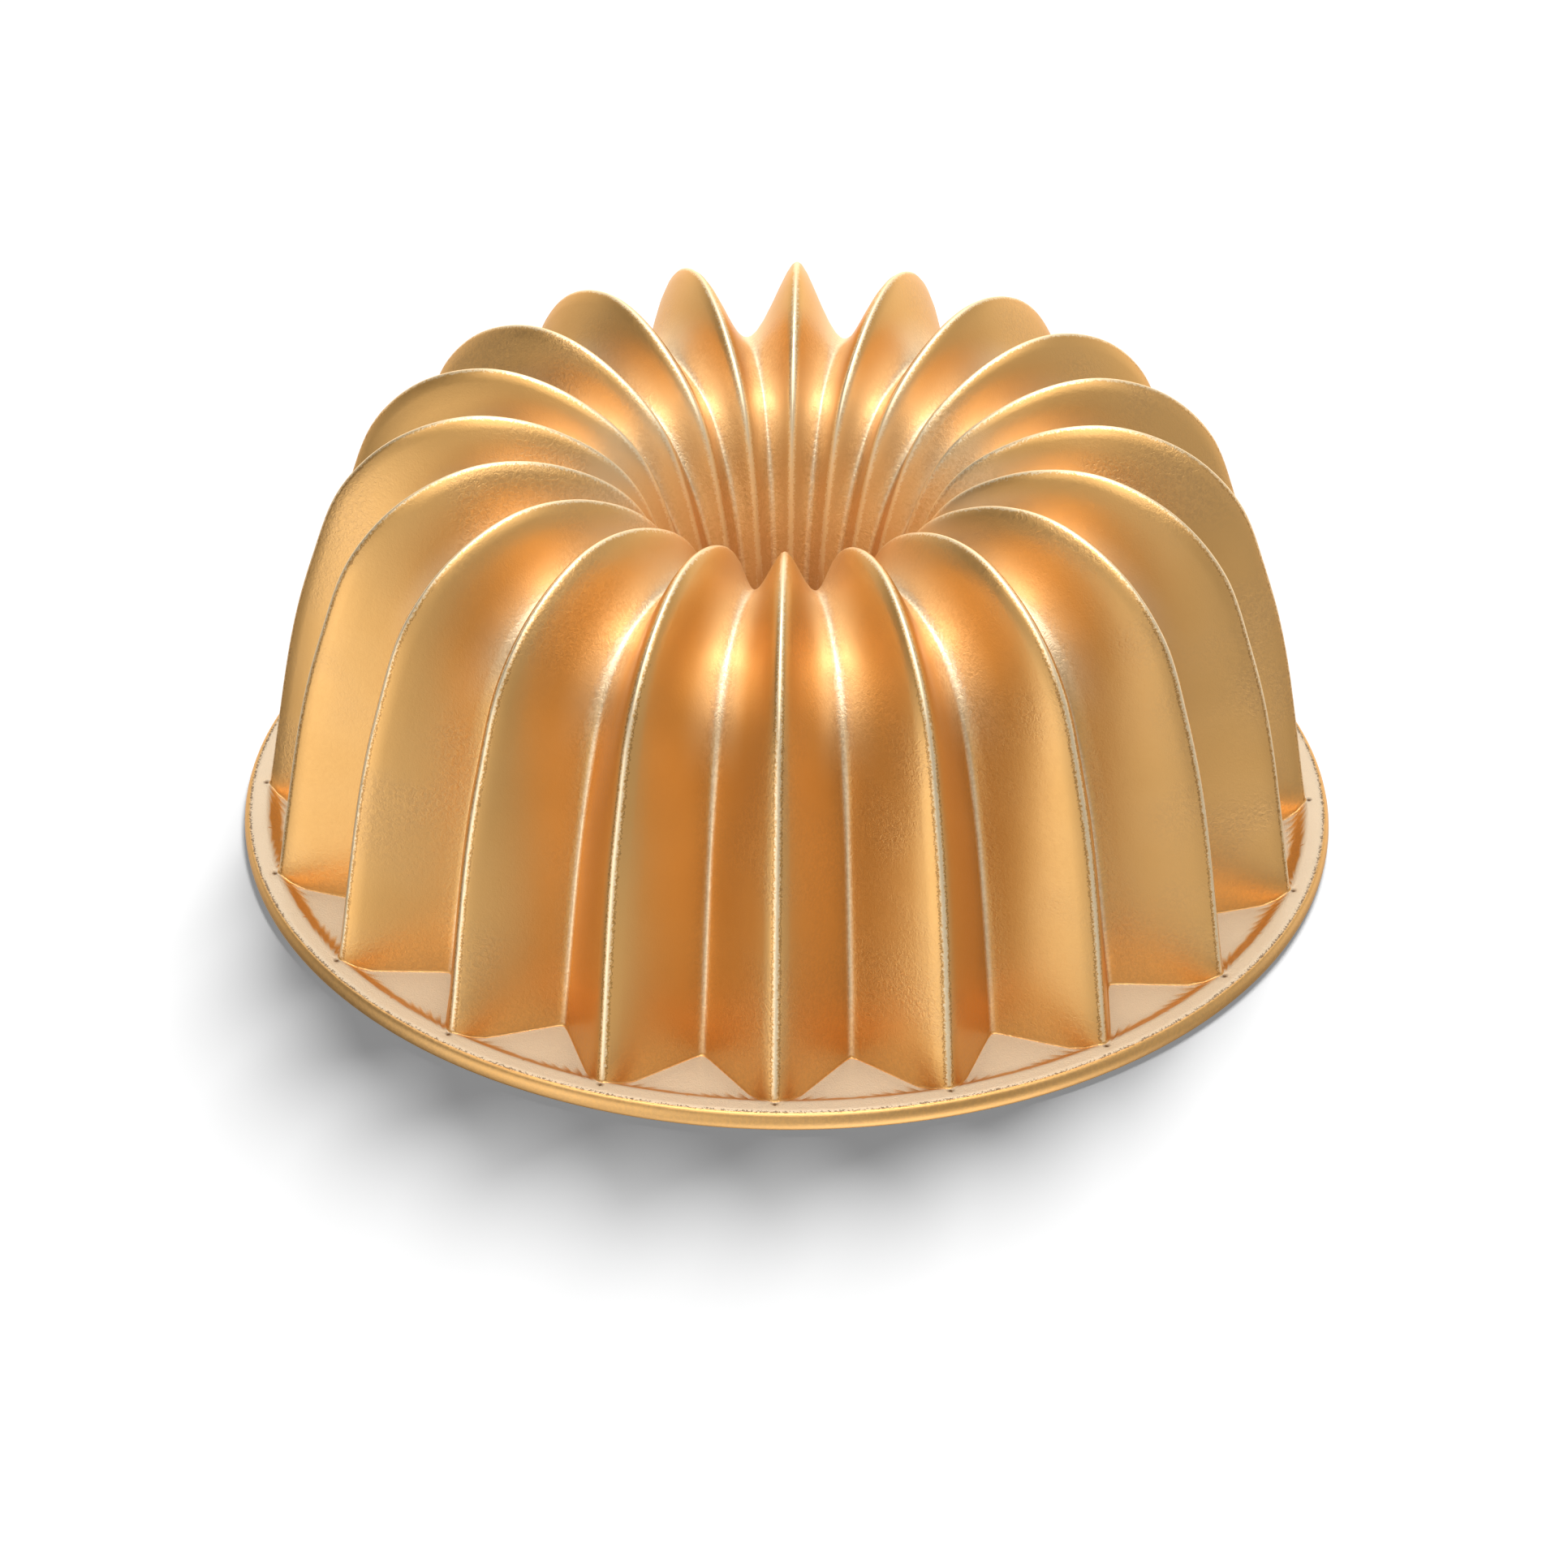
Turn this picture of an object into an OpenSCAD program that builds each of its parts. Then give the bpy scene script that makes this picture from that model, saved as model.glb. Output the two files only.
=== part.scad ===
// Fluted tube cake pan (bundt pan), cast aluminium, standing upside down on its rim.
// +Z is up, the rim rests on z = 0 and the pan's axis is Z. A ridge faces -Y.
// The pan is one casting with a non-stick lining on the cake side and a coloured
// coating on the outside; the rim land and the end of the centre tube are left bare.

/* [Rim] */
// Outer diameter over the rim's rounded edge
rim_d = 265; // [250:1:280]
// Height of the rim band, from the land up to its flat top
rim_h = 4.5; // [4:0.1:6]
// How far the rounded edge stands out past the flat top
edge_bulge = 1.3; // [0.6:0.1:2]
// Width of the flat top, from a ridge's foot to the rounded edge
rim_top_w = 4.2; // [3:0.1:5]
// Height of the triangular pocket floors between the ridge feet
floor_h = 2.2; // [1.8:0.1:3]
// Width of the sloping step from a pocket floor up to the flat top
step_w = 3.5; // [2.5:0.1:4.5]

/* [Flutes] */
// Number of ridges round the pan
ridge_count = 20; // [18:1:22]
// Height over the ridges
pan_h = 108; // [100:1:116]

/* [Walls] */
// Wall thickness of the casting
wall = 3; // [2.5:0.1:3.5]
// Thickness of the outside coating
coat = 0.1; // [0.08:0.01:0.2]
// Thickness of the non-stick lining
lining = 0.1; // [0.08:0.01:0.2]
// Height of the bare ground land at the cavity's mouth
land_h = 1; // [0.5:0.1:1.5]

/* [Centre tube] */
// Radius of the hole through the end of the centre tube
tube_bore_r = 15.5; // [14:0.1:16.5]
// Outer radius of the plain collar at the tube's end
collar_r = 21.5; // [20.5:0.1:24]
// Height of the collar's lower face above the rim land
collar_z = 2; // [1:0.1:3]
// Height of the collar
collar_h = 6; // [4:0.5:8]

/* [Hidden] */

rim_r = rim_d / 2;
edge_r = rim_r - edge_bulge;
foot_r = edge_r - rim_top_w;
pitch = 360 / ridge_count;
columns = 2 * ridge_count;
rim_columns = 4 * ridge_count;
tube_end_r = 17;
tube_end_z = collar_z + collar_h / 2;
collar_chamfer = 0.8;
coat_end_angle = -60;
edge_angles = [90, 60, 30, 0, -30, coat_end_angle, -90];
round_fn = 96;

// Ridge line in (radius, height): foot, wall, shoulder, top, throat and tube.
ridge_line = [
    [foot_r, rim_h],
    [foot_r - 7, 46],
    [foot_r - 13.5, 70],
    [foot_r - 21, 88.5],
    [foot_r - 34.5, 101.8],
    [74, pan_h],
    [54.3, 104.2],
    [37.3, 91.5],
    [27.5, 67],
    [21.5, 36],
    [tube_end_r, tube_end_z]
];

// Valley line, point for point opposite the ridge line along the flute's face.
valley_line = [
    [foot_r - 18.7, floor_h],
    [foot_r - 26, 40],
    [foot_r - 32.4, 63.5],
    [foot_r - 38.1, 77.5],
    [foot_r - 46, 86.5],
    [72, 91],
    [59.2, 92.3],
    [42.7, 86.8],
    [29.2, 66],
    [22.2, 36],
    [tube_end_r, tube_end_z]
];

// Stations along both lines: the straight wall needs few, the crown needs more.
stations = [0, 0.5, 1, 1.5, 2, 2.5, 3, 3.33, 3.67, 4, 4.33, 4.67, 5, 5.33, 5.67, 6,
            6.33, 6.67, 7, 7.5, 8, 8.5, 9, 10];
last = len(stations) - 1;

function is_ridge(column) = column % 2 == 0;
function line_of(column) = is_ridge(column) ? ridge_line : valley_line;
function turn(column) = -90 + column * pitch / 2;
function rim_turn(column) = -90 + column * pitch / 4;
function unit(v) = v / norm(v);
function around(rz, angle) = [rz.x * cos(angle), rz.x * sin(angle), rz.y];

// Smooth curve through a line's points; s counts points from the foot.
function knot(line, i) =
    i < 0 ? 2 * line[0] - line[1]
    : i >= len(line) ? 2 * line[len(line) - 1] - line[len(line) - 2]
    : line[i];
function curve(line, s) =
    let (i = min(floor(s), len(line) - 2), t = s - i,
         a = knot(line, i - 1), b = knot(line, i), c = knot(line, i + 1), d = knot(line, i + 2))
    (2 * b + (c - a) * t + (2 * a - 5 * b + 4 * c - d) * t * t
        + (3 * b - a - 3 * c + d) * t * t * t) / 2;
function tangent(line, s) =
    let (e = 0.02)
    unit(curve(line, min(s + e, len(line) - 1)) - curve(line, max(s - e, 0)));

// The outward normal in the (radius, height) plane, and how much longer a shift along it
// must be than the wall is thick, because the two faces beside the line slope away.
function outward(line, s) = let (v = tangent(line, s)) [v.y, -v.x];
function flank_normal(s) =
    let (ridge = around(curve(ridge_line, s), 0),
         valley = around(curve(valley_line, s), pitch / 2),
         along = tangent(ridge_line, s),
         across = valley - ridge)
    norm(across) < 0.01 || s >= len(ridge_line) - 1 ? [1, 0, 0]
    : unit(cross(across, [along.x, 0, along.y]));
function miter(column, s) =
    s >= len(ridge_line) - 1 ? 1
    : let (flat = outward(line_of(column), s),
           n = around(flat, is_ridge(column) ? 0 : pitch / 2))
      1 / abs(flank_normal(s) * n);
function shifted(column, s, shift) =
    curve(line_of(column), s) + shift * miter(column, s) * outward(line_of(column), s);

// Fluted skin at a shift from the outer surface, one row of points per station.
function flute_row(s, shift) =
    [for (c = [0 : columns - 1]) around(shifted(c, s, shift), turn(c))];
function flute_points(shift, first_station, final_station) =
    [for (i = [first_station : final_station]) each flute_row(stations[i], shift)];

// The cavity's mouth: the inner skin carried on down its own slope to a given height.
function mouth_point(column, z, shift) =
    let (top = shifted(column, 0, shift),
         slope = (curve(line_of(column), 1) - curve(line_of(column), 0)))
    [top.x + (z - top.y) * slope.x / slope.y, z];
function mouth_row(z, shift) =
    [for (c = [0 : columns - 1]) around(mouth_point(c, z, shift), turn(c))];

// Rows of equal length joined by triangles, facing out of a surface whose rows climb.
function wrap(i, n) = (i + n) % n;
function quad(a, b, c, d, ridge_first) =
    ridge_first ? [[a, c, b], [b, c, d]] : [[a, d, b], [a, c, d]];
function sheet(start, rows, n) =
    [for (r = [0 : rows - 2]) for (c = [0 : n - 1])
        let (a = start + r * n + c, b = start + r * n + wrap(c + 1, n))
        each quad(a, b, a + n, b + n, c % 2 == 1)];
function flipped(faces) = [for (f = faces) [f[0], f[2], f[1]]];

// Rim points of the outer surface. Each valley has a pocket: two floor corners and a
// mid point at the foot of the step, and the flat top's inner edge above them.
corner_share = 0.8;
function pocket_corner(valley, side, lift) =
    let (apex = around([valley_line[0].x, floor_h + lift], turn(2 * valley + 1)),
         foot = around([foot_r, floor_h + lift], turn(2 * valley + 1 + side)))
    apex + corner_share * (foot - apex);
function pocket_points(lift) =
    [for (v = [0 : ridge_count - 1])
        each [pocket_corner(v, -1, lift),
              around([foot_r - step_w, floor_h + lift], turn(2 * v + 1)),
              pocket_corner(v, 1, lift)]];
function rim_row(r, z) = [for (c = [0 : rim_columns - 1]) around([r, z], rim_turn(c))];
function edge_row(angle, lift) =
    rim_row(edge_r + (edge_bulge + lift) * cos(angle),
            rim_h / 2 + (rim_h / 2 + lift) * sin(angle));
function edge_points(lift, rows) =
    [for (i = [0 : rows - 1]) each edge_row(edge_angles[i], lift)];

// Outer surface: flutes, then pockets, then the flat top's inner edge, then the edge rows.
function foot_row(lift, shift) =
    [for (c = [0 : columns - 1])
        let (p = shifted(c, 0, shift))
        around([p.x, is_ridge(c) ? rim_h + lift : floor_h + lift], turn(c))];
function outer_points(lift, final_station, edge_rows) = concat(
    foot_row(lift, lift),
    flute_points(lift, 1, final_station),
    pocket_points(lift),
    rim_row(foot_r, rim_h + lift),
    edge_points(lift, edge_rows));
function outer_faces(start, final_station, edge_rows) =
    let (pocket = start + (final_station + 1) * columns,
         inner_edge = pocket + 3 * ridge_count,
         edge = inner_edge + rim_columns)
    concat(
        sheet(start, final_station + 1, columns),
        [for (v = [0 : ridge_count - 1])
            each pocket_faces(start, pocket + 3 * v, inner_edge, v)],
        [for (c = [0 : rim_columns - 1])
            let (n = wrap(c + 1, rim_columns))
            each [[top_index(start, inner_edge, c), top_index(start, inner_edge, n), edge + c],
                  [top_index(start, inner_edge, n), edge + n, edge + c]]],
        flipped(sheet(edge, edge_rows, rim_columns)));
// A ridge's foot is itself the point on the flat top's inner edge.
function top_index(start, inner_edge, c) = c % 4 == 0 ? start + c / 2 : inner_edge + c;
function pocket_faces(start, corner, inner_edge, v) =
    let (apex = start + 2 * v + 1,
         foot_a = start + 2 * v,
         foot_b = start + wrap(2 * v + 2, columns),
         mid = corner + 1,
         far = corner + 2,
         t1 = inner_edge + 4 * v + 1,
         t2 = t1 + 1,
         t3 = t1 + 2)
    [[apex, mid, corner], [apex, far, mid],
     [foot_a, apex, corner], [foot_b, far, apex],
     [foot_a, corner, t1], [corner, mid, t1], [mid, t2, t1],
     [mid, t3, t2], [mid, far, t3], [far, foot_b, t3]];

// Points that the outer surface does not use are left in the list; they carry no faces.
module casting_shell() {
    edge_rows = len(edge_angles);
    outer = outer_points(0, last, edge_rows);
    inner = concat(mouth_row(0, -wall), mouth_row(land_h, -wall), flute_points(-wall, 0, last));
    inner_start = len(outer);
    outer_end = last * columns;
    inner_end = inner_start + (last + 2) * columns;
    bottom = inner_start - rim_columns;
    polyhedron(
        points = concat(outer, inner),
        faces = concat(
            outer_faces(0, last, edge_rows),
            flipped(sheet(inner_start, last + 3, columns)),
            [for (c = [0 : columns - 1])
                let (n = wrap(c + 1, columns))
                each quad(outer_end + c, outer_end + n, inner_end + c, inner_end + n, true)],
            [for (v = [0 : ridge_count - 1]) each land_faces(bottom, inner_start, v)]),
        convexity = 10);
}

// Flat ground land between the cavity's zigzag mouth and the rim's edge.
function land_faces(bottom, mouth, v) =
    let (a = mouth + 2 * v, m = a + 1, b = mouth + wrap(2 * v + 2, columns),
         o0 = bottom + 4 * v, o1 = o0 + 1, o2 = o0 + 2, o3 = o0 + 3,
         o4 = bottom + wrap(4 * v + 4, rim_columns))
    [[a, o0, o1], [a, o1, m], [m, o1, o2], [m, o2, o3], [m, o3, b], [b, o3, o4]];

module tube_collar() {
    rotate_extrude($fn = round_fn)
        polygon([
            [tube_bore_r + collar_chamfer, collar_z],
            [collar_r - collar_chamfer, collar_z],
            [collar_r, collar_z + collar_chamfer],
            [collar_r, collar_z + collar_h],
            [tube_bore_r, collar_z + collar_h],
            [tube_bore_r, collar_z + collar_chamfer]]);
}

module cast_body() {
    color("silver")
        union() {
            casting_shell();
            tube_collar();
        }
}

// Outside coating: from under the rim's rounded edge, over the flutes, to the tube.
module exterior_coating() {
    edge_rows = len(edge_angles) - 1;
    stop = last - 1;
    base = outer_points(0, stop, edge_rows);
    skin = outer_points(coat, stop, edge_rows);
    count = len(base);
    tube_row = stop * columns;
    rim_row_start = count - rim_columns;
    color("goldenrod")
        polyhedron(
            points = concat(base, skin),
            faces = concat(
                flipped(outer_faces(0, stop, edge_rows)),
                outer_faces(count, stop, edge_rows),
                closing(count + tube_row, tube_row, columns),
                closing(rim_row_start, count + rim_row_start, rim_columns)),
            convexity = 10);
}

// Strip that closes a coating along its edge, between the two copies of one row.
function closing(a, b, n) =
    [for (c = [0 : n - 1])
        let (d = wrap(c + 1, n))
        each [[a + c, b + c, a + d], [a + d, b + c, b + d]]];

// Lining: from just above the rim land, over the cake side of the flutes, to the tube.
module interior_lining() {
    stop = last - 1;
    rows = stop + 2;
    base = concat(mouth_row(land_h, -wall), flute_points(-wall, 0, stop));
    skin = concat(mouth_row(land_h, -wall - lining), flute_points(-wall - lining, 0, stop));
    count = len(base);
    tube_row = count - columns;
    color("darkgoldenrod")
        polyhedron(
            points = concat(base, skin),
            faces = concat(
                sheet(0, rows, columns),
                flipped(sheet(count, rows, columns)),
                closing(tube_row, count + tube_row, columns),
                closing(count, 0, columns)),
            convexity = 10);
}

cast_body();
exterior_coating();
interior_lining();
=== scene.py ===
"""Fluted tube cake pan: the finished look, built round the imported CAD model."""

import math

import bpy
import numpy as np
from mathutils import Matrix, Vector


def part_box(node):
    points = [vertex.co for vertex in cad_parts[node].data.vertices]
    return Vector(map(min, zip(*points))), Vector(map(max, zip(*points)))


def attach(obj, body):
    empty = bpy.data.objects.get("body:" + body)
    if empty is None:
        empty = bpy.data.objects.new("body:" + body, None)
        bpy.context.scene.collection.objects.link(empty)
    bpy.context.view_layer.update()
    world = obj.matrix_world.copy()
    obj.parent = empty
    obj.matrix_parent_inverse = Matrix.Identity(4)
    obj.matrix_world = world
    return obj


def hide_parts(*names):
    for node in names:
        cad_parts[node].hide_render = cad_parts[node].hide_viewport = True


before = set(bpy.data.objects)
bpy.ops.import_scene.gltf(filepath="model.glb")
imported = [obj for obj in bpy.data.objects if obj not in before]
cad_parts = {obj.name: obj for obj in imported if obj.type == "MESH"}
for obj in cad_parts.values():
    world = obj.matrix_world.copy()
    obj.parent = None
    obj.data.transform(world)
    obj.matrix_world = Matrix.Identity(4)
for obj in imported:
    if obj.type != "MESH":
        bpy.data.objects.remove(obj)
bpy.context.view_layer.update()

# ---------------------------------------------------------------- sizes, in millimetres
# The pan stands upside down on its rim: +Z is up, and a ridge faces -Y. The sizes are the CAD
# model's, apart from the groove, the roundings, the fillets and the pits, which are only here.
MM = 0.001
cast_low, cast_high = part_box("cast_body")
coat_low, coat_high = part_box("exterior_coating")

RIM_R = cast_high.x / MM
PAN_H = 108.0
COAT = (coat_high.x - cast_high.x) / MM
WALL = 3.0
LINING = 0.1

RIM_H = 4.5
EDGE_BULGE = 1.3
RIM_TOP_W = 4.2
FLOOR_H = 2.2
STEP_W = 3.5
EDGE_R = RIM_R - EDGE_BULGE
FOOT_R = EDGE_R - RIM_TOP_W
LAND_H = 1.0
# A shallow groove runs round the rim where its flat top meets the rounded edge.
TOP_END_R = EDGE_R - 0.5
SEAM_R = EDGE_R - 0.25
SEAM_DEPTH = 0.18
# Degrees above level on the rounded edge: its start, the coat's end and the metal's end.
EDGE_START = 78
COAT_EDGE_END = -60
METAL_EDGE_END = -90

RIDGES = 20
HALF_PITCH = math.pi / RIDGES
FRONT = -math.pi / 2

TUBE_END_R = 17.0
TUBE_BORE_R = 15.5
COLLAR_R = 21.5
COLLAR_Z = 2.0
COLLAR_H = 6.0
COLLAR_ROUND = 0.8
COLLAR_SIDES = 160

# Ridge and valley lines in (radius, height), point for point across each flute face.
RIDGE_LINE = np.array([
    (FOOT_R, RIM_H), (FOOT_R - 7, 46), (FOOT_R - 13.5, 70), (FOOT_R - 21, 88.5),
    (FOOT_R - 34.5, 101.8), (74, PAN_H), (54.3, 104.2), (37.3, 91.5),
    (27.5, 67), (21.5, 36), (TUBE_END_R, COLLAR_Z + COLLAR_H / 2),
])
VALLEY_LINE = np.array([
    (FOOT_R - 18.7, FLOOR_H), (FOOT_R - 26, 40), (FOOT_R - 32.4, 63.5), (FOOT_R - 38.1, 77.5),
    (FOOT_R - 46, 86.5), (72, 91), (59.2, 92.3), (42.7, 86.8),
    (29.2, 66), (22.2, 36), (TUBE_END_R, COLLAR_Z + COLLAR_H / 2),
])
LAST = len(RIDGE_LINE) - 1
# The crest and valley marks on the wall, partly wear and partly painted highlight and shade, run
# down the tube to this radius.
CREST_MARKS_TO_R = 24
# The two coats stop here, just short of the tube's end.
COAT_END = 9.85

# Casting radii: the ridges are crisp, the valleys open out over the crown.
RIDGE_ROUND = 1.9
# The crests are set this much lower, so that the smooth curve stays inside the CAD box.
RIDGE_SINK = 0.12
VALLEY_ROUND_WALL = 0.7
VALLEY_ROUND_CROWN = 4.2
POCKET_FILLET = 0.7
FOOT_FILLET = 0.5
STEP_SOFTNESS = 0.07
PIT_R = FOOT_R + 0.9
PIT_DEPTH = 0.45
PIT_SIZE = 0.75

# How many steps each mesh has: across half a flute, and down its rows.
ACROSS = 10
WALL_ROWS = 96
FILLET_ROWS = 5
BASE_ROWS = 18
EDGE_ROWS = 12
LAND_ROWS = 3
TOP_JOIN_R = FOOT_R + 1.2
BISECTIONS = 26

# Places and lengths along the two lines, counted in points from the foot.
CROWN_START = 1.5
CROWN_LENGTH = 2.5
FADE_LENGTH = 0.5
SLOPE_STEP = 0.02

# Limits that keep the shift between skins and the rounding finite.
LEAST_LEAN = 0.35
LEAST_WIDTH = 0.5
ROUND_LIMITS = (0.004, 0.5)


# ---------------------------------------------------------------- the flute surface
def spline(line, s):
    """Smooth curve through a line's points; below the first point it runs on straight."""
    s = np.asarray(s, float)
    first = 2 * line[0] - line[1]
    final = 2 * line[-1] - line[-2]
    padded = np.vstack([first, line, final])
    i = np.clip(np.floor(s).astype(int), 0, LAST - 1)
    t = (s - i)[..., None]
    a, b, c, d = (padded[i + k] for k in range(4))
    inside = (2 * b + (c - a) * t + (2 * a - 5 * b + 4 * c - d) * t**2
              + (3 * b - a - 3 * c + d) * t**3) / 2
    below = line[0] + s[..., None] * (line[1] - line[0])
    return np.where((s < 0)[..., None], below, inside)


def outward(line, s):
    """The direction out of the metal, square to a line, in (radius, height)."""
    along = spline(line, np.minimum(s + SLOPE_STEP, LAST)) - spline(line, s - SLOPE_STEP)
    along /= np.linalg.norm(along, axis=-1, keepdims=True)
    return np.stack([along[..., 1], -along[..., 0]], -1)


def turned(rz, angle):
    """(radius, height) turned round the axis to (x, y, z)."""
    return np.stack([rz[..., 0] * np.cos(angle), rz[..., 0] * np.sin(angle), rz[..., 1]], -1)


def shifted_lines(s, shift):
    """Ridge and valley points moved so that the wall between them is evenly thick."""
    ridge, valley = spline(RIDGE_LINE, s), spline(VALLEY_LINE, s)
    ridge_out, valley_out = outward(RIDGE_LINE, s), outward(VALLEY_LINE, s)
    across = turned(valley, HALF_PITCH) - turned(ridge, 0)
    along = np.stack([-ridge_out[..., 1], np.zeros_like(s), ridge_out[..., 0]], -1)
    normal = np.cross(across, along)
    length = np.linalg.norm(normal, axis=-1, keepdims=True)
    normal = normal / np.maximum(length, 1e-6)
    lean_ridge = np.abs((normal * turned(ridge_out, 0)).sum(-1))
    lean_valley = np.abs((normal * turned(valley_out, HALF_PITCH)).sum(-1))
    faded = s > LAST - FADE_LENGTH
    lean_ridge = np.where(faded, 1, np.clip(lean_ridge, LEAST_LEAN, 1))
    lean_valley = np.where(faded, 1, np.clip(lean_valley, LEAST_LEAN, 1))
    ridge = ridge + (shift / lean_ridge[..., None] - RIDGE_SINK) * ridge_out
    valley = valley + shift * valley_out / lean_valley[..., None]
    return ridge, valley


FINE = np.linspace(0, 1, 401)


def flute_depth(t, width, depth, valley_round):
    """How far the face has dropped at t, from ridge (0) to valley (1), with both ends rounded."""
    near = np.clip(RIDGE_ROUND * depth / width**2, *ROUND_LIMITS)
    far = np.clip(valley_round * depth / width**2, *ROUND_LIMITS)
    slope = FINE / np.hypot(FINE, near[:, None]) * (1 - FINE) / np.hypot(1 - FINE, far[:, None])
    drop = np.concatenate([np.zeros((len(near), 1)),
                           np.cumsum((slope[:, 1:] + slope[:, :-1]) / 2, axis=1)], axis=1)
    drop /= drop[:, -1:]
    return np.array([np.interp(row_t, FINE, row) for row_t, row in zip(t, drop)])


def flute_surface(s, t, shift):
    """Points for stations s and shares t across, in the plane frame of one ridge."""
    shape = np.broadcast(s, t).shape
    s = np.broadcast_to(s, shape).ravel().astype(float)
    t = np.broadcast_to(t, shape).ravel().astype(float)
    ridge, valley = shifted_lines(s, shift)
    low = turned(valley, HALF_PITCH)
    width = np.maximum(low[:, 1], LEAST_WIDTH)
    depth = np.linalg.norm(np.stack([low[:, 0] - ridge[:, 0], low[:, 2] - ridge[:, 1]]), axis=0)
    crown = np.clip((s - CROWN_START) / CROWN_LENGTH, 0, 1)
    valley_round = VALLEY_ROUND_WALL + (VALLEY_ROUND_CROWN - VALLEY_ROUND_WALL) * crown
    drop = flute_depth(t[:, None], width, depth, valley_round)[:, 0]
    x = ridge[:, 0] + (low[:, 0] - ridge[:, 0]) * drop
    z = ridge[:, 1] + (low[:, 2] - ridge[:, 1]) * drop
    return np.stack([x, low[:, 1] * t, z], -1).reshape(*shape, 3)


# ---------------------------------------------------------------- rim and pockets
def ramp(x, soft):
    """0 below 0, 1 above 1, straight between, with its two corners softened."""
    return (np.hypot(x, soft) - np.hypot(x - 1, soft) + 1) / 2


def foot_pit(r, angle):
    """1 in the middle of the small casting pit that sits against each ridge's foot."""
    return np.exp(-((r - PIT_R)**2 + (r * angle)**2) / PIT_SIZE**2)


def base_height(r):
    """The pocket floor, the sloping step and the rim's flat top."""
    step = ramp((r - (FOOT_R - STEP_W)) / STEP_W, STEP_SOFTNESS)
    return FLOOR_H + (RIM_H - FLOOR_H) * step


def column_shares():
    """Shares across a flute face, closest together at the ridge and the valley."""
    even = np.linspace(0, 1, ACROSS + 1)
    return (1 - np.cos(math.pi * even)) / 2


def station_at_zero(rise, t, low, high):
    """The station in each column, between low and high, where rise(station) passes zero."""
    low = np.full(len(t), low)
    high = np.full(len(t), high)
    for _ in range(BISECTIONS):
        mid = (low + high) / 2
        above = rise(mid)
        low = np.where(above < 0, mid, low)
        high = np.where(above < 0, high, mid)
    return (low + high) / 2


def meet(t, height, shift):
    """The station at which each column stands a given height above the base surface."""
    def rise(station):
        p = flute_surface(station, t, shift)
        return p[:, 2] - base_height(np.hypot(p[:, 0], p[:, 1])) - shift - height

    return station_at_zero(rise, t, -0.08, 0.3)


def wall_marks():
    """How far along from foot to tube each row is, 0 to 1: the crown gets the most rows."""
    marks = np.array([0, 1.8, 3.0, 7.2, 8.2, LAST])
    shares = np.array([0, 0.2, 0.32, 0.82, 0.9, 1.0])
    return np.interp(np.linspace(0, 1, WALL_ROWS), shares, marks) / LAST


def outer_column_rows(shift, last_station, edge_stop):
    """Rows of (x, y, z) over the outside for one half flute, from tube to under the rim."""
    t = column_shares()
    fillet = FOOT_FILLET + (POCKET_FILLET - FOOT_FILLET) * np.clip(t / 0.12, 0, 1)
    start = meet(t, fillet, shift)
    corner = flute_surface(meet(t, np.zeros_like(t), shift), t, shift)
    stations = start + (last_station - start) * wall_marks()[:, None]
    wall = flute_surface(stations, np.broadcast_to(t, stations.shape), shift)

    angle = np.arctan2(corner[:, 1], corner[:, 0])
    corner_r = np.hypot(corner[:, 0], corner[:, 1])

    def ring(r, z):
        r = np.broadcast_to(r, angle.shape)
        z = z - PIT_DEPTH * foot_pit(r, angle)
        return np.stack([r * np.cos(angle), r * np.sin(angle), z], -1)

    end_r = corner_r + fillet
    end = ring(end_r, base_height(end_r) + shift)
    bends = []
    for q in np.linspace(0, 1, FILLET_ROWS + 2)[1:-1]:
        bends.append(wall[0] * (1 - q)**2 + 2 * corner * q * (1 - q) + end * q**2)
    base = []
    for q in np.linspace(0, 1, BASE_ROWS):
        r = end_r + (TOP_JOIN_R - end_r) * (1 - (1 - q)**1.7)
        base.append(ring(r, base_height(r) + shift))
    top = [ring(r, RIM_H + shift) for r in np.linspace(TOP_JOIN_R, TOP_END_R, 4)[1:]]
    top.append(ring(SEAM_R, RIM_H + shift - SEAM_DEPTH))
    edge = []
    for turn in np.radians(np.linspace(EDGE_START, edge_stop, EDGE_ROWS)):
        edge.append(ring(EDGE_R + (EDGE_BULGE + shift) * math.cos(turn),
                         RIM_H / 2 + (RIM_H / 2 + shift) * math.sin(turn)))
    return np.array([*wall[::-1], *bends, *base, *top, *edge])


def inner_column_rows(shift, low_z, last_station):
    """Rows over the cake side for one half flute, from the mouth up and into the tube."""
    t = column_shares()
    start = station_at_zero(lambda s: flute_surface(s, t, shift)[:, 2] - low_z, t, -0.3, 0.4)
    stations = start + (last_station - start) * wall_marks()[:, None]
    return flute_surface(stations, np.broadcast_to(t, stations.shape), shift)


# ---------------------------------------------------------------- meshes
def full_turn(rows):
    """Mirrors a half flute and repeats it round the pan."""
    mirrored = rows[:, ::-1] * np.array([1, -1, 1])
    flute = np.concatenate([mirrored[:, :-1], rows[:, :-1]], axis=1)
    turns = []
    for k in range(RIDGES):
        a = FRONT + 2 * HALF_PITCH * k
        spin = np.array([[math.cos(a), -math.sin(a), 0], [math.sin(a), math.cos(a), 0], [0, 0, 1]])
        turns.append(flute @ spin.T)
    return np.concatenate(turns, axis=1)


def grid_faces(rows, columns, closed=False):
    """Quads over a grid whose columns run full circle, and whose rows do too when closed."""
    last = rows if closed else rows - 1
    r, c = np.meshgrid(np.arange(last), np.arange(columns), indexing="ij")
    here, above = r * columns, (r + 1) % rows * columns
    beside = (c + 1) % columns
    return np.stack([here + c, above + c, above + beside, here + beside], -1).reshape(-1, 4)


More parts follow.
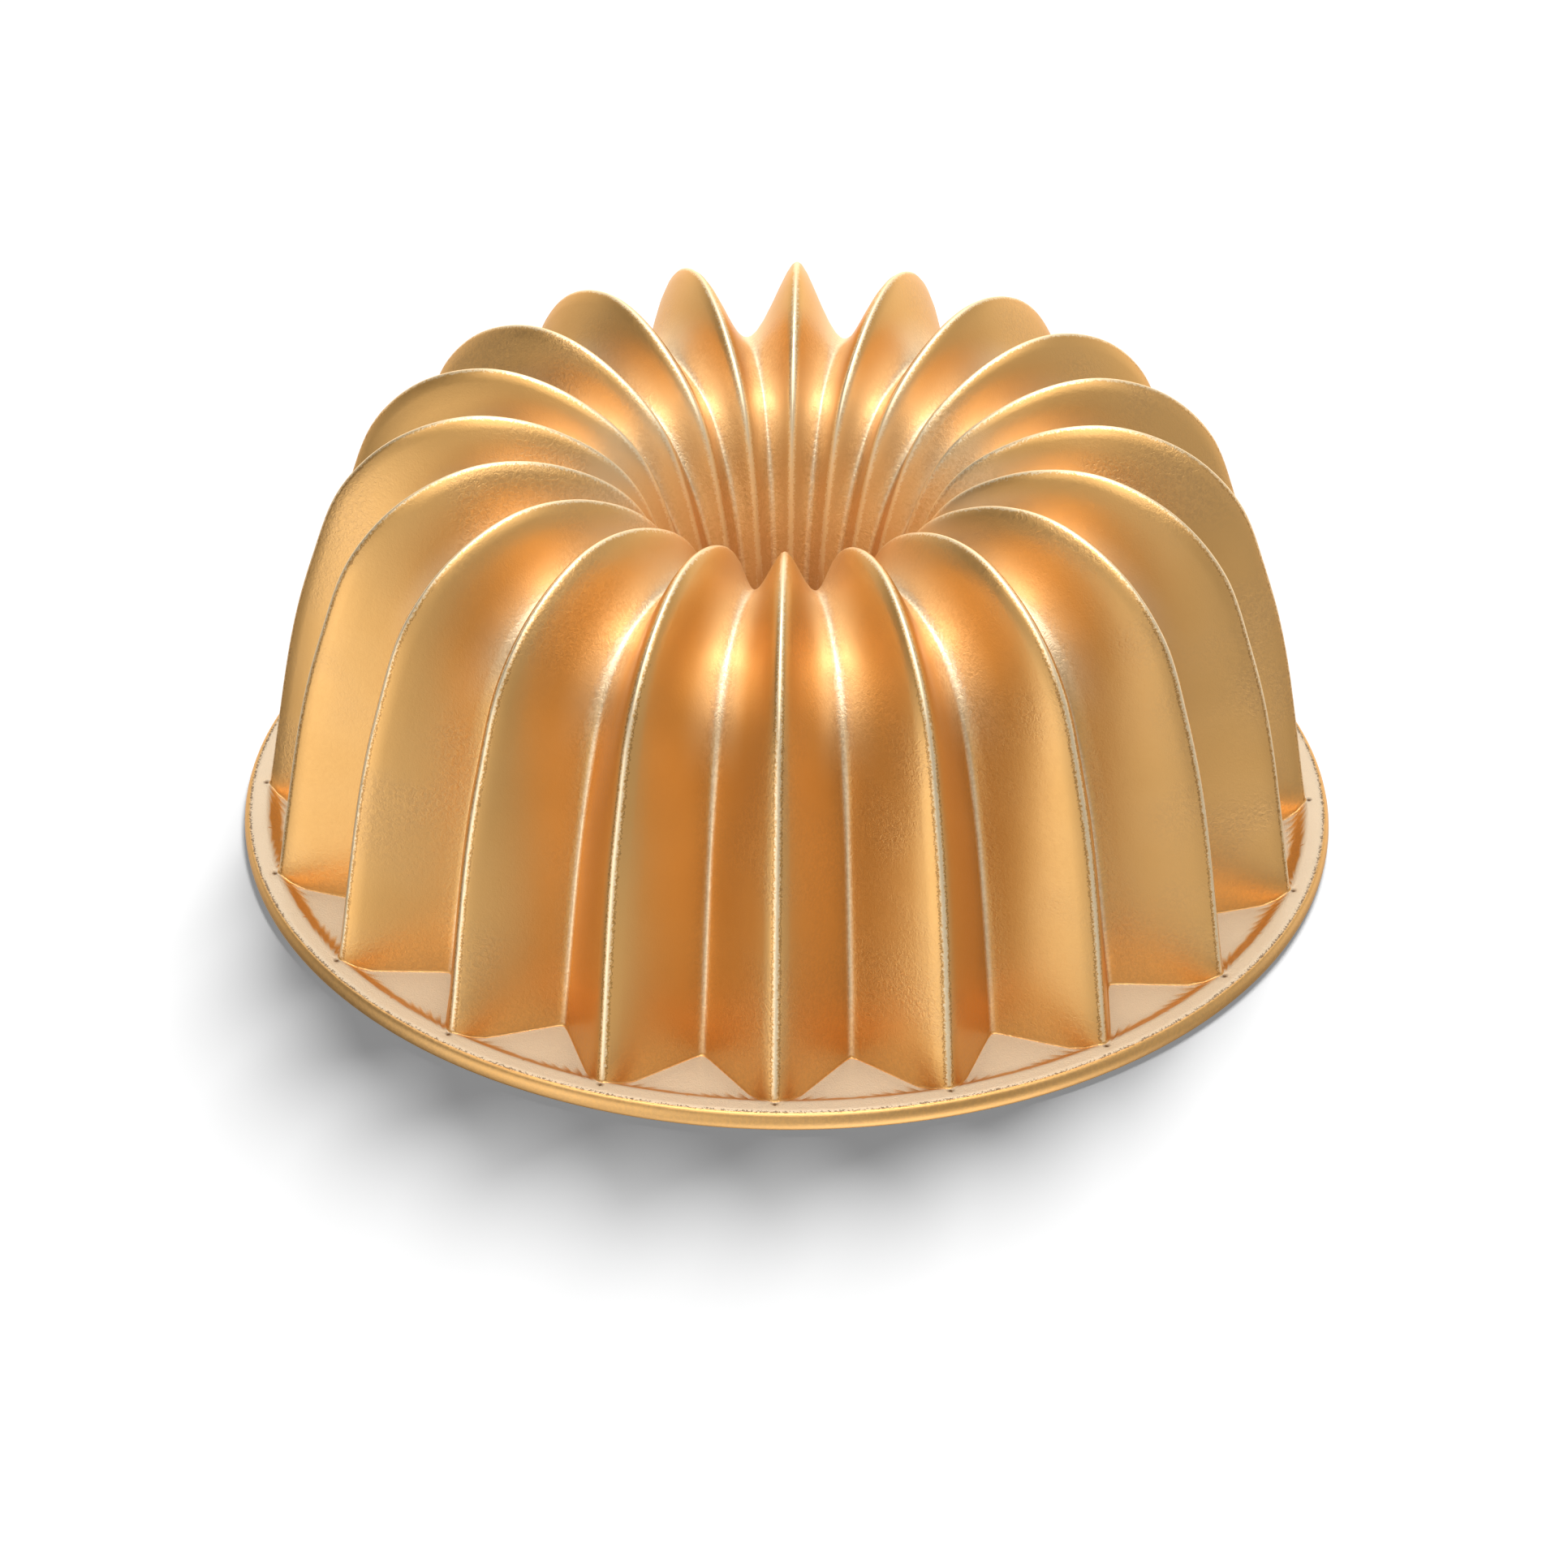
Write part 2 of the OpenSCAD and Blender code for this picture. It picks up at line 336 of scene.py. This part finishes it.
def make_object(name, points, faces, material):
    """A smooth-shaded mesh object from millimetre points, riding on the pan's one body."""
    mesh = bpy.data.meshes.new(name)
    mesh.from_pydata((points * MM).tolist(), [], faces.tolist())
    mesh.validate()
    mesh.shade_smooth()
    mesh.materials.append(material)
    obj = bpy.data.objects.new(name, mesh)
    bpy.context.scene.collection.objects.link(obj)
    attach(obj, "root")
    obj.visible_diffuse = False
    return obj


def add_attribute(obj, name, values):
    layer = obj.data.attributes.new(name, "FLOAT", "POINT")
    layer.data.foreach_set("value", np.asarray(values, np.float32).ravel())


def repeat_shares(values):
    """The same mirror and repeat as full_turn, for one number per column."""
    flute = np.concatenate([values[::-1][:-1], values[:-1]])
    return np.tile(flute, RIDGES)


def lathe(profile):
    """A closed ring: a closed (radius, height) outline turned round the axis."""
    profile = np.array(profile)
    angle = np.linspace(0, 2 * math.pi, COLLAR_SIDES, endpoint=False)
    points = np.stack([profile[:, :1] * np.cos(angle), profile[:, :1] * np.sin(angle),
                       np.repeat(profile[:, 1:], COLLAR_SIDES, axis=1)], -1)
    return points.reshape(-1, 3), grid_faces(len(points), COLLAR_SIDES, closed=True)


def rounded(corners, radius, points_each=4):
    """A closed outline with each corner turned into a small curve."""
    corners = np.array(corners, float)
    outline = []
    for i, here in enumerate(corners):
        before = corners[i - 1] - here
        after = corners[(i + 1) % len(corners)] - here
        a = here + before / np.linalg.norm(before) * radius
        b = here + after / np.linalg.norm(after) * radius
        for q in np.linspace(0, 1, points_each):
            outline.append(a * (1 - q)**2 + 2 * here * q * (1 - q) + b * q**2)
    return outline


# ---------------------------------------------------------------- materials
GOLD_DEEP = (0.80, 0.45, 0.145, 1)
GOLD_LIGHT = (0.84, 0.49, 0.175, 1)
# Painted light inside the tube.
GOLD_TUBE_LIGHT = (0.92, 0.69, 0.41, 1)
# Painted highlight down the valleys and over the crown.
GOLD_VALLEY_HIGHLIGHT = (1.0, 0.84, 0.60, 1)
GOLD_IN_GRAIN = (0.60, 0.34, 0.14, 1)
# Painted light on the flat rim top and pocket floors.
GOLD_LIT_ON_FLATS = (1.0, 0.81, 0.58, 1)
# Wear on the crests, with a painted highlight in it.
GOLD_WORN_AND_HIGHLIT = (1.0, 0.81, 0.53, 1)
GOLD_AT_GRAZING = (1.0, 0.74, 0.46, 1)
# Painted shade beside the crests.
SHADE_BY_CREST = (0.28, 0.12, 0.03, 1)
# Painted shade in the rim's groove and the pits.
SHADE_IN_PITS = (0.16, 0.075, 0.025, 1)
LINING_DEEP = (0.70, 0.42, 0.19, 1)
LINING_LIGHT = (0.76, 0.47, 0.22, 1)
ALUMINIUM_DULL = (0.62, 0.62, 0.62, 1)
ALUMINIUM_BRIGHT = (0.74, 0.74, 0.75, 1)
FLOOR_DULL = (0.93, 0.93, 0.93, 1)
FLOOR_BRIGHT = (0.95, 0.95, 0.95, 1)

# How far each texture rises, in metres.
GRAIN_RISE = 0.00014
SPRAY_RISE = 0.00008
GRINDING_RISE = 0.0001


class Nodes:
    """A short way to write a node tree: each call adds one node and links its inputs."""

    def __init__(self, name):
        self.material = bpy.data.materials.new(name)
        self.material.use_nodes = True
        self.tree = self.material.node_tree
        self.tree.nodes.clear()

    def add(self, kind, inputs=None, **settings):
        node = self.tree.nodes.new("ShaderNode" + kind)
        for key, value in settings.items():
            setattr(node, key, value)
        for key, value in (inputs or {}).items():
            self.connect(node.inputs[key], value)
        return node

    def connect(self, socket, value):
        if isinstance(value, bpy.types.NodeSocket):
            self.tree.links.new(value, socket)
        else:
            socket.default_value = value

    def value(self, operation, a, b=0.0):
        return self.add("Math", {0: a, 1: b}, operation=operation).outputs[0]

    def spread(self, value, low, high, to_low=0.0, to_high=1.0, smooth=False):
        node = self.add("MapRange", {"Value": value, "From Min": low, "From Max": high,
                                     "To Min": to_low, "To Max": to_high})
        if smooth:
            node.interpolation_type = "SMOOTHSTEP"
        return node.outputs[0]

    def mix(self, share, a, b):
        """Colours a and b mixed. A Mix node keeps its colour sockets at 6, 7 and output 2."""
        node = self.add("Mix", data_type="RGBA")
        for index, value in ((0, share), (6, a), (7, b)):
            self.connect(node.inputs[index], value)
        return node.outputs[2]

    def noise(self, scale, detail=2.0, roughness=0.5, distortion=0.0, vector=None):
        inputs = {"Scale": scale, "Detail": detail, "Roughness": roughness,
                  "Distortion": distortion}
        if vector is not None:
            inputs["Vector"] = vector
        return self.add("TexNoise", inputs).outputs["Fac"]

    def millimetres(self):
        place = self.add("TexCoord").outputs["Object"]
        scaled = self.add("VectorMath", {0: place, "Scale": 1 / MM}, operation="SCALE")
        return scaled.outputs[0]

    def radius_and_height(self, place):
        split = self.add("SeparateXYZ", {"Vector": place})
        across = self.value("MULTIPLY", split.outputs["X"], split.outputs["X"])
        along = self.value("MULTIPLY", split.outputs["Y"], split.outputs["Y"])
        return self.value("SQRT", self.value("ADD", across, along)), split.outputs["Z"]

    def stored(self, name):
        return self.add("Attribute", attribute_name=name).outputs["Fac"]

    def finish(self, shader):
        self.add("OutputMaterial", {"Surface": shader.outputs[0]})
        return self.material


def gold_material():
    """Satin champagne-gold coat over a leathery sand-cast grain, with wear and a painted highlight
    along the ridges, painted highlights down the valleys, painted light on the flats and in the
    tube, and painted shade by the crests, in the groove and in the pits.
    """
    n = Nodes("gold_coat")
    place = n.millimetres()
    ridge = n.stored("ridge_mm")
    valley = n.stored("valley_mm")
    wall = n.stored("wall")
    land = n.stored("land")
    edge = n.stored("edge")
    pit = n.stored("pit")
    radius, height = n.radius_and_height(place)

    # Noise scales are per millimetre.
    patches = n.noise(0.03, 2.0, 0.5, vector=place)
    leather = n.noise(1.2, 2.0, 0.6, 0.7, vector=place)
    grain = n.noise(2.6, 2.0, 0.6, vector=place)
    speckle = n.noise(1.9, 2.0, 0.6, vector=place)

    # Grain stands out by the valleys and the feet of the flutes, and in patches elsewhere.
    near_valley = n.spread(valley, 5.0, 0.0, smooth=True)
    near_foot = n.spread(height, 18.0, 3.0, smooth=True)
    patchy = n.spread(patches, 0.46, 0.62, smooth=True)
    coarse = n.value("MAXIMUM", n.value("MAXIMUM", near_valley, near_foot), patchy)

    gold = n.mix(n.spread(patches, 0.35, 0.65), GOLD_DEEP, GOLD_LIGHT)
    # The coat is painted lighter: painted highlights down the valleys on the wall and over a broad
    # stretch along the valleys on the crown, and painted light inside the tube.
    crown = n.value("MULTIPLY", n.spread(height, 66.0, 88.0, smooth=True),
                    n.spread(radius, 30.0, 46.0, smooth=True))
    tube_painted_light = n.spread(radius, 52.0, 36.0, smooth=True)
    crown_highlight_band = n.value("MULTIPLY", crown, n.spread(valley, 7.5, 0.4, smooth=True))
    valley_highlight_thread = n.value("MULTIPLY", n.spread(valley, 1.0, 0.3, smooth=True), wall)
    painted_highlight = n.value("MAXIMUM", n.value("MULTIPLY", crown_highlight_band, 0.8), n.value("MULTIPLY", valley_highlight_thread, 0.6))
    # Painted light: the inside of the tube is made lighter.
    gold = n.mix(n.value("MULTIPLY", tube_painted_light, 0.55), gold, GOLD_TUBE_LIGHT)
    gold = n.mix(painted_highlight, gold, GOLD_VALLEY_HIGHLIGHT)
    gold = n.mix(n.value("MULTIPLY", coarse, n.spread(leather, 0.62, 0.40, 0.0, 0.35)),
                 gold, GOLD_IN_GRAIN)
    # Painted light: the flat rim top and the pocket floors, which face up into the lamps, are made
    # lighter.
    gold = n.mix(n.value("MULTIPLY", land, 0.92), gold, GOLD_LIT_ON_FLATS)
    # Wear and painted highlight: each crest is made lighter, out to a ragged edge.
    ragged_crest_mm = n.value("ADD", ridge, n.spread(speckle, 0.3, 0.7, -0.38, 0.38))
    wear_and_highlight = n.value("MULTIPLY", n.spread(ragged_crest_mm, 0.95, 0.35, smooth=True), wall)
    gold = n.mix(n.value("MULTIPLY", wear_and_highlight, 0.92), gold, GOLD_WORN_AND_HIGHLIT)
    # Painted shade: a thin brown line, broken up by the grain, runs along each side of the crest
    # on the outer wall, where the crest's far side turns away.
    beside = n.value("ABSOLUTE", n.value("SUBTRACT", ragged_crest_mm, 1.1))
    outer_wall = n.value("MULTIPLY", n.spread(radius, 90.0, 106.0, smooth=True), wall)
    crest_shade_line = n.value("MULTIPLY", n.spread(beside, 0.24, 0.06, smooth=True), outer_wall)
    gold = n.mix(n.value("MULTIPLY", crest_shade_line, 0.6), gold, SHADE_BY_CREST)
    # Painted shade: the groove round the rim and the pits at the ridge feet are made brown.
    corner = n.value("ABSOLUTE", n.value("SUBTRACT", radius, EDGE_R - 0.1))
    line = n.value("ADD", corner, n.spread(speckle, 0.38, 0.62, 0.6, -0.1))
    groove_shade = n.value("MULTIPLY", n.spread(line, 0.5, 0.25),
                   n.spread(height, RIM_H - 0.6, RIM_H - 0.3))
    painted_shade = n.value("MAXIMUM", n.value("MULTIPLY", groove_shade, 0.75), n.spread(pit, 0.25, 0.8))
    gold = n.mix(painted_shade, gold, SHADE_IN_PITS)

    rough = n.spread(leather, 0.3, 0.7, 0.37, 0.43)
    rough = n.value("ADD", rough, n.value("MULTIPLY", land, 0.15))

    relief = n.value("MULTIPLY", leather, n.spread(coarse, 0.0, 1.0, 0.2, 0.9))
    relief = n.value("MULTIPLY", relief, n.spread(edge, 0.0, 1.0, 1.0, 0.15))
    relief = n.value("ADD", relief, n.value("MULTIPLY", grain, 0.16))
    relief = n.value("ADD", relief, n.value("MULTIPLY", land, n.value("MULTIPLY", grain, 0.8)))
    bump = n.add("Bump", {"Height": relief, "Strength": 1.0, "Distance": GRAIN_RISE})

    shader = n.add("BsdfPrincipled", {
        "Base Color": gold, "Metallic": n.spread(land, 0.0, 1.0, 0.92, 0.3), "Roughness": rough,
        "Normal": bump.outputs[0], "Coat Weight": 0.25, "Coat Roughness": 0.22,
        "Specular Tint": GOLD_AT_GRAZING,
    })
    return n.finish(shader)


def lining_material():
    """Smooth satin non-stick lining with a faint sprayed texture."""
    n = Nodes("non_stick_lining")
    # Noise scales are per metre.
    place = n.add("TexCoord").outputs["Object"]
    patches = n.noise(18.0, 2.0, vector=place)
    spray = n.noise(1100.0, 2.0, vector=place)
    color = n.mix(patches, LINING_DEEP, LINING_LIGHT)
    bump = n.add("Bump", {"Height": spray, "Strength": 0.2, "Distance": SPRAY_RISE})
    shader = n.add("BsdfPrincipled", {
        "Base Color": color, "Metallic": 0.85, "Roughness": n.spread(spray, 0.3, 0.7, 0.3, 0.38),
        "Normal": bump.outputs[0], "Coat Weight": 0.3, "Coat Roughness": 0.2,
    })
    return n.finish(shader)


def ground_metal_material():
    """Bare aluminium, ground flat in circles round the pan's axis."""
    n = Nodes("ground_aluminium")
    # Noise scales are per metre.
    place = n.add("TexCoord").outputs["Object"]
    radius, _ = n.radius_and_height(place)
    rings = n.add("TexNoise", {"W": n.value("MULTIPLY", radius, 5200.0), "Scale": 1.0},
                  noise_dimensions="1D").outputs["Fac"]
    stain = n.noise(60.0, 3.0, vector=place)
    color = n.mix(stain, ALUMINIUM_DULL, ALUMINIUM_BRIGHT)
    bump = n.add("Bump", {"Height": rings, "Strength": 0.25, "Distance": GRINDING_RISE})
    shader = n.add("BsdfPrincipled", {
        "Base Color": color, "Metallic": 1.0, "Roughness": n.spread(rings, 0.3, 0.7, 0.28, 0.42),
        "Normal": bump.outputs[0],
    })
    return n.finish(shader)


def floor_material():
    """White floor, clear from below so that the pan's underside can be looked at."""
    n = Nodes("floor_white")
    mottle = n.noise(0.003, 2.0, vector=n.millimetres())
    color = n.mix(mottle, FLOOR_DULL, FLOOR_BRIGHT)
    shader = n.add("BsdfPrincipled", {
        "Base Color": color, "Roughness": 0.9, "Specular IOR Level": 0.1,
        "Emission Color": (1, 1, 1, 1), "Emission Strength": 0.25,
    })
    clear = n.add("BsdfTransparent")
    from_below = n.add("NewGeometry").outputs["Backfacing"]
    return n.finish(n.add("MixShader", {0: from_below, 1: shader.outputs[0], 2: clear.outputs[0]}))


GOLD = gold_material()
LINING_COAT = lining_material()
BARE = ground_metal_material()


# ---------------------------------------------------------------- the three pieces
def outside_coat():
    """The gold coat over everything outside, from the tube to under the rim's edge."""
    rows = outer_column_rows(COAT, COAT_END, COAT_EDGE_END)
    points = full_turn(rows)
    count, columns = points.shape[:2]
    obj = make_object("exterior_coat", points.reshape(-1, 3), grid_faces(count, columns), GOLD)
    shares = repeat_shares(column_shares())
    radius = np.hypot(points[..., 0], points[..., 1])
    height = points[..., 2]

    # What the coat's material needs to know about each point.
    chord = np.maximum(radius * HALF_PITCH, 1)
    row = np.arange(count)[:, None]
    on_wall = row < WALL_ROWS
    base = row >= WALL_ROWS + FILLET_ROWS - 1
    step = (radius > FOOT_R - STEP_W + 0.3) & (radius < FOOT_R - 0.2) & (height < RIM_H - 0.2)
    edge = row >= count - EDGE_ROWS
    add_attribute(obj, "ridge_mm", shares[None, :] * chord)
    add_attribute(obj, "valley_mm", (1 - shares)[None, :] * chord)
    add_attribute(obj, "wall", on_wall & (radius > CREST_MARKS_TO_R))
    add_attribute(obj, "land", base & ~step & ~edge)
    add_attribute(obj, "edge", np.broadcast_to(edge, radius.shape))
    across = np.broadcast_to(shares[None, :] * HALF_PITCH, radius.shape)
    add_attribute(obj, "pit", foot_pit(radius, across) * base)
    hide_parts("exterior_coating")
    return obj


def inside_lining():
    """The non-stick lining over the cake side, from the rim land to the tube's end."""
    rows = inner_column_rows(-WALL - LINING, LAND_H, COAT_END)
    points = full_turn(rows)
    count, columns = points.shape[:2]
    obj = make_object("non_stick_lining", points.reshape(-1, 3),
                      grid_faces(count, columns), LINING_COAT)
    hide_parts("interior_lining")
    return obj


def casting():
    """The metal itself: outer skin, rim land, cake side and tube end as one closed shell."""
    outer = full_turn(outer_column_rows(0, LAST, METAL_EDGE_END))
    inner = full_turn(inner_column_rows(-WALL, 0, LAST))
    land_shares = np.linspace(0, 1, LAND_ROWS + 2)[1:-1]
    land = np.array([outer[-1] * (1 - q) + inner[0] * q for q in land_shares])
    land[..., 2] = 0
    shell = np.concatenate([outer, land, inner])
    count, columns = shell.shape[:2]
    shell_faces = grid_faces(count, columns, closed=True)

    top = COLLAR_Z + COLLAR_H
    outline = rounded([(TUBE_BORE_R, top), (COLLAR_R, top), (COLLAR_R, COLLAR_Z),
                       (TUBE_BORE_R, COLLAR_Z)], COLLAR_ROUND)
    collar_points, collar_faces = lathe(outline)
    points = np.concatenate([shell.reshape(-1, 3), collar_points])
    faces = np.concatenate([shell_faces, collar_faces + count * columns])
    obj = make_object("casting", points, faces, BARE)
    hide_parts("cast_body")
    return obj


coat = outside_coat()
lining = inside_lining()
metal = casting()


# ---------------------------------------------------------------- stage, light and camera
def make_floor():
    reach = 4.0
    mesh = bpy.data.meshes.new("floor")
    mesh.from_pydata([(-reach, -reach, 0), (reach, -reach, 0), (reach, reach, 0),
                      (-reach, reach, 0)], [], [(0, 1, 2, 3)])
    mesh.materials.append(floor_material())
    floor = bpy.data.objects.new("floor", mesh)
    floor.visible_glossy = False
    bpy.context.scene.collection.objects.link(floor)
    return floor


def toward(azimuth, elevation):
    """A direction from the pan: azimuth 0 is the camera's side, 90 is its right."""
    around, up = math.radians(azimuth), math.radians(elevation)
    return Vector((math.sin(around) * math.cos(up), -math.cos(around) * math.cos(up),
                   math.sin(up)))


def sun(name, azimuth, elevation, spread, power):
    """A distant lamp in a direction from the pan, as wide as its spread in degrees."""
    light = bpy.data.lights.new(name, "SUN")
    light.angle = math.radians(spread)
    light.energy = power
    lamp = bpy.data.objects.new(name, light)
    lamp.rotation_mode = "QUATERNION"
    lamp.rotation_quaternion = (-toward(azimuth, elevation)).to_track_quat("-Z", "Y")
    bpy.context.scene.collection.objects.link(lamp)
    return lamp


def soft_surround(glows, level):
    """A dim room with broad soft glows, each at (azimuth, elevation, tightness, strength)."""
    world = bpy.data.worlds.new("studio")
    bpy.context.scene.world = world
    world.use_nodes = True
    world.cycles_visibility.diffuse = False
    tree = world.node_tree
    tree.nodes["Background"].inputs["Color"].default_value = (1, 1, 1, 1)
    sky = tree.nodes.new("ShaderNodeTexCoord").outputs["Generated"]
    total = None
    for name, (azimuth, elevation, tightness, strength) in glows.items():
        facing = tree.nodes.new("ShaderNodeVectorMath")
        facing.label = name
        facing.operation = "DOT_PRODUCT"
        tree.links.new(sky, facing.inputs[0])
        facing.inputs[1].default_value = toward(azimuth, elevation)
        steps = [("MAXIMUM", 0.0), ("POWER", tightness), ("MULTIPLY", strength), ("ADD", level)]
        value = facing.outputs["Value"]
        for operation, amount in steps:
            node = tree.nodes.new("ShaderNodeMath")
            node.operation = operation
            tree.links.new(value, node.inputs[0])
            node.inputs[1].default_value = amount
            if operation == "ADD" and total is not None:
                tree.links.new(total, node.inputs[1])
            value = node.outputs[0]
        total = value
    tree.links.new(total, tree.nodes["Background"].inputs["Strength"])


def shine_only_on(lamp, objects):
    """The floor and the pan are lit apart, so that the floor's shadow has a lamp of its own."""
    receivers = bpy.data.collections.new(lamp.name + "_receivers")
    for obj in objects:
        receivers.objects.link(obj)
    lamp.light_linking.receiver_collection = receivers


# Each lamp: azimuth, elevation, spread in degrees, power.
FLOOR_KEY = (165, 50, 26, 3.6)
PAN_LAMPS = {
    "overhead": (0, 90, 30, 1.3),
    "front_top": (0, 55, 30, 0.55),
    "left_top": (-60, 55, 30, 0.36),
    "right_top": (60, 55, 30, 0.35),
}
# Each glow: azimuth, elevation, tightness, strength. Low ones are light off a pale floor.
GLOWS = {
    "left_panel": (-50, -10, 8, 1.7),
    "front_panel": (-5, 0, 6, 0.75),
    "right_panel": (75, 10, 3, 0.5),
    "backdrop": (180, -5, 5, 1.8),
    "back_left": (-128, -2, 9, 0.75),
    "back_right": (128, -2, 9, 0.95),
    "back_top": (180, 60, 8, 2.0),
    "left_of_floor": (-45, -60, 8, 0.8),
    "right_of_floor": (45, -60, 8, 2.2),
}
ROOM_LEVEL = 0.03


def light_the_scene(floor, pieces):
    shine_only_on(sun("floor_key", *FLOOR_KEY), [floor])
    for name, setting in PAN_LAMPS.items():
        shine_only_on(sun(name, *setting), pieces)
    soft_surround(GLOWS, ROOM_LEVEL)


# The camera looks down at ELEVATION from nearly straight in front, with a slight roll.
ELEVATION = math.radians(33.27)
AROUND = math.radians(1.05)
ROLL = math.radians(0.39)
DISTANCE = 9.406 * RIM_R * MM
LOOK_RIGHT = -0.0056 * RIM_R * MM
LOOK_HEIGHT = 0.0483 * RIM_R * MM
SENSOR = 36.0
LENS = 116.7
NEAREST = 0.05
FARTHEST = 50


def make_camera():
    back = Vector((math.sin(AROUND) * math.cos(ELEVATION),
                   -math.cos(AROUND) * math.cos(ELEVATION), math.sin(ELEVATION)))
    right = Vector((math.cos(AROUND), math.sin(AROUND), 0))
    data = bpy.data.cameras.new("camera")
    data.sensor_width = SENSOR
    data.lens = LENS
    data.clip_start = NEAREST
    data.clip_end = FARTHEST
    camera = bpy.data.objects.new("camera", data)
    camera.location = right * LOOK_RIGHT + Vector((0, 0, LOOK_HEIGHT)) + back * DISTANCE
    camera.rotation_mode = "QUATERNION"
    aim = (-back).to_track_quat("-Z", "Y")
    camera.rotation_quaternion = aim @ Matrix.Rotation(ROLL, 3, "Z").to_quaternion()
    bpy.context.scene.collection.objects.link(camera)
    bpy.context.scene.camera = camera


light_the_scene(make_floor(), [coat, lining, metal])
make_camera()
bpy.context.scene.view_settings.view_transform = "Standard"
